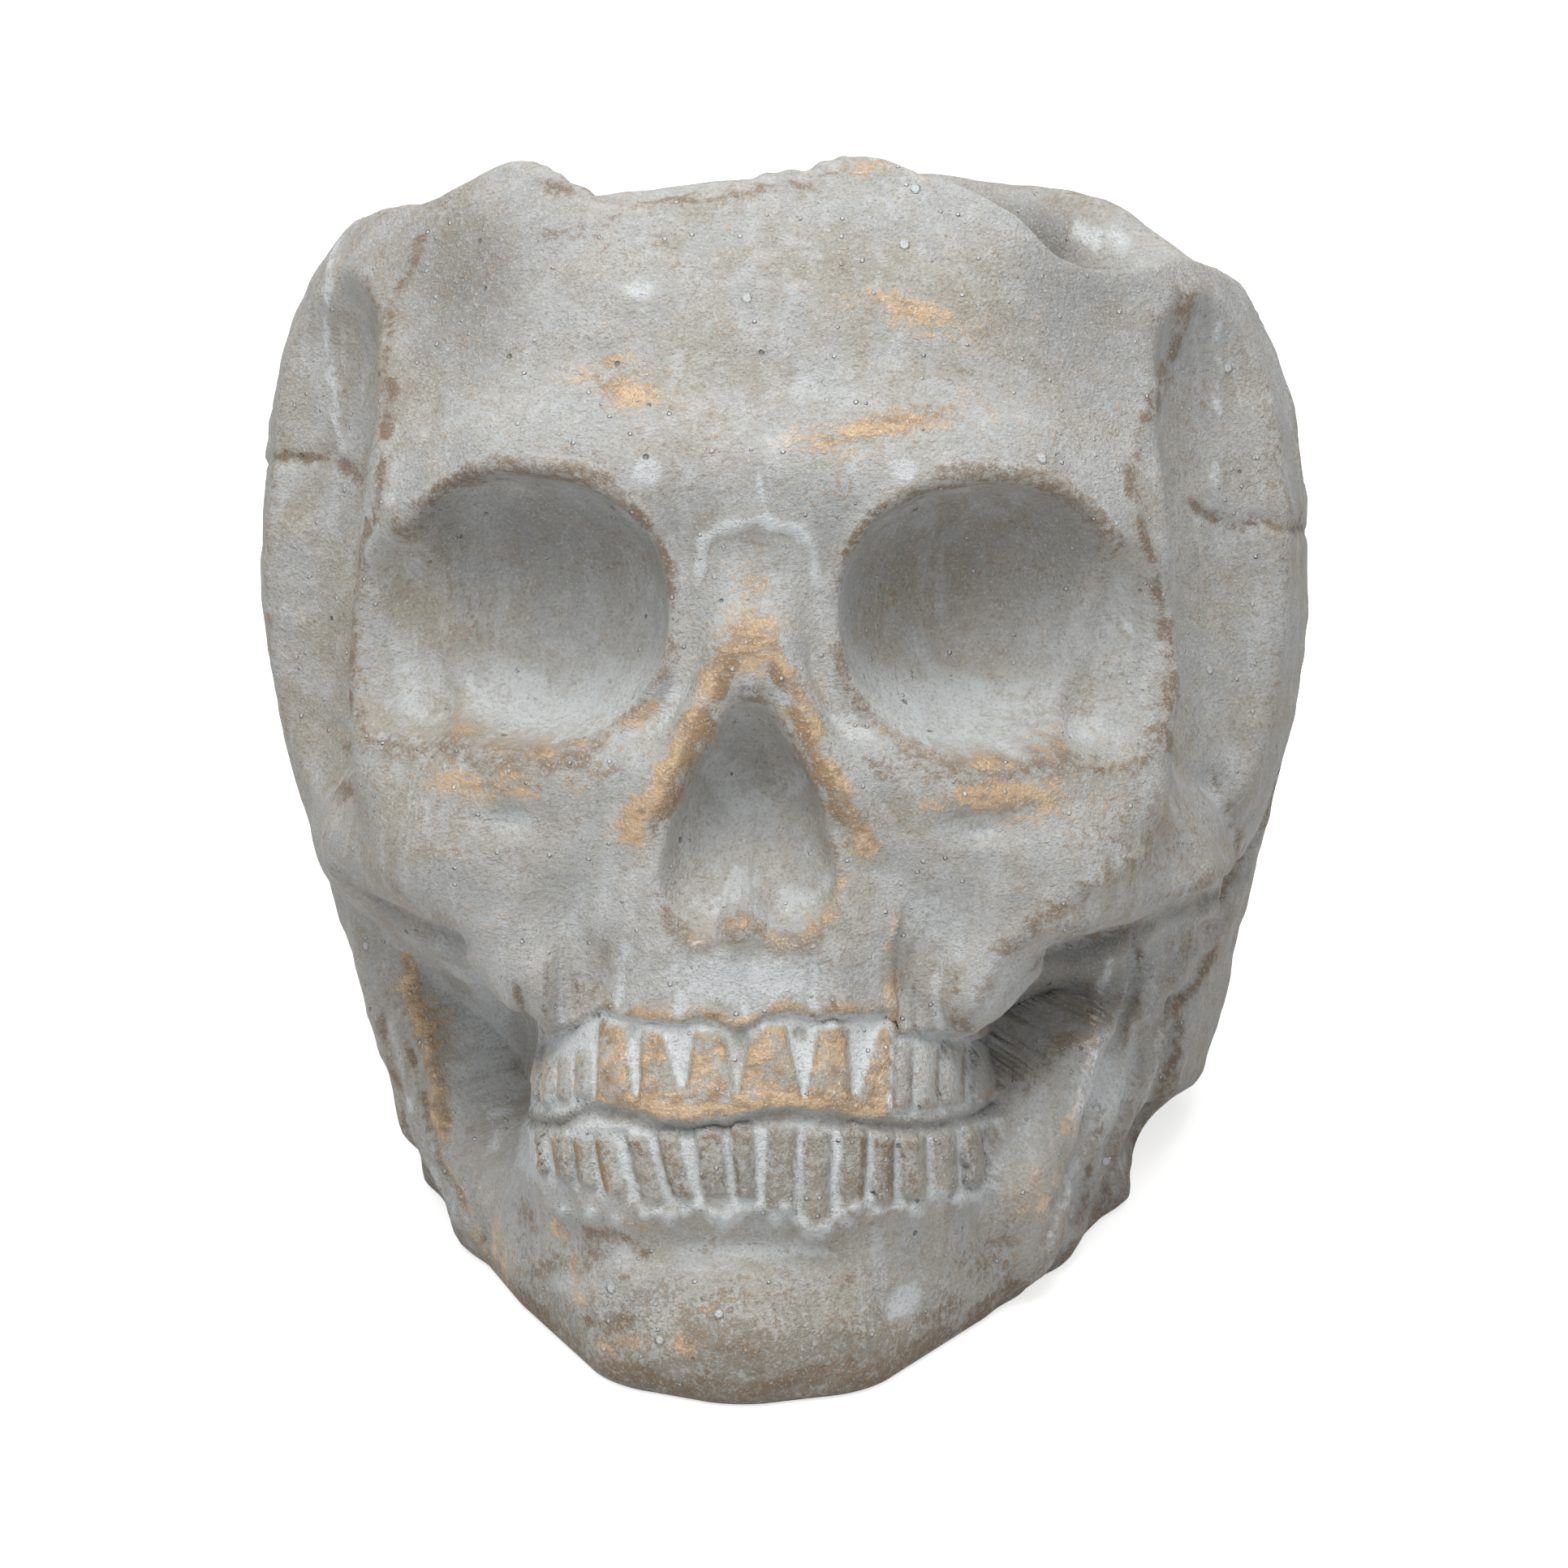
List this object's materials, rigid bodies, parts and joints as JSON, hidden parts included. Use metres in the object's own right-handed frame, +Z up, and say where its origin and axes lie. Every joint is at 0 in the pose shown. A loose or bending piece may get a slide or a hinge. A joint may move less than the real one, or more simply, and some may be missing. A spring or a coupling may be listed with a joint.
{
  "type": "skull candle",
  "caption": "Cast cement skull vessel with a thick broken crown rim, open at the top, holding a wax fill and a wick.",
  "frame": {"origin": "centre of the footprint box on the flat base", "axes": "+Z up, the face looks along -Y, +X towards the skull's left side"},
  "size_m": [0.1166, 0.1474, 0.1197],
  "materials": {
    "cement": "matte",
    "wax": "satin",
    "cotton": "matte",
    "steel": "satin"
  },
  "bodies": {
    "root": {"skull_vessel": "cement", "wax_fill": "wax", "wick": "cotton", "wick_tab": "steel"}
  },
  "joints": []
}
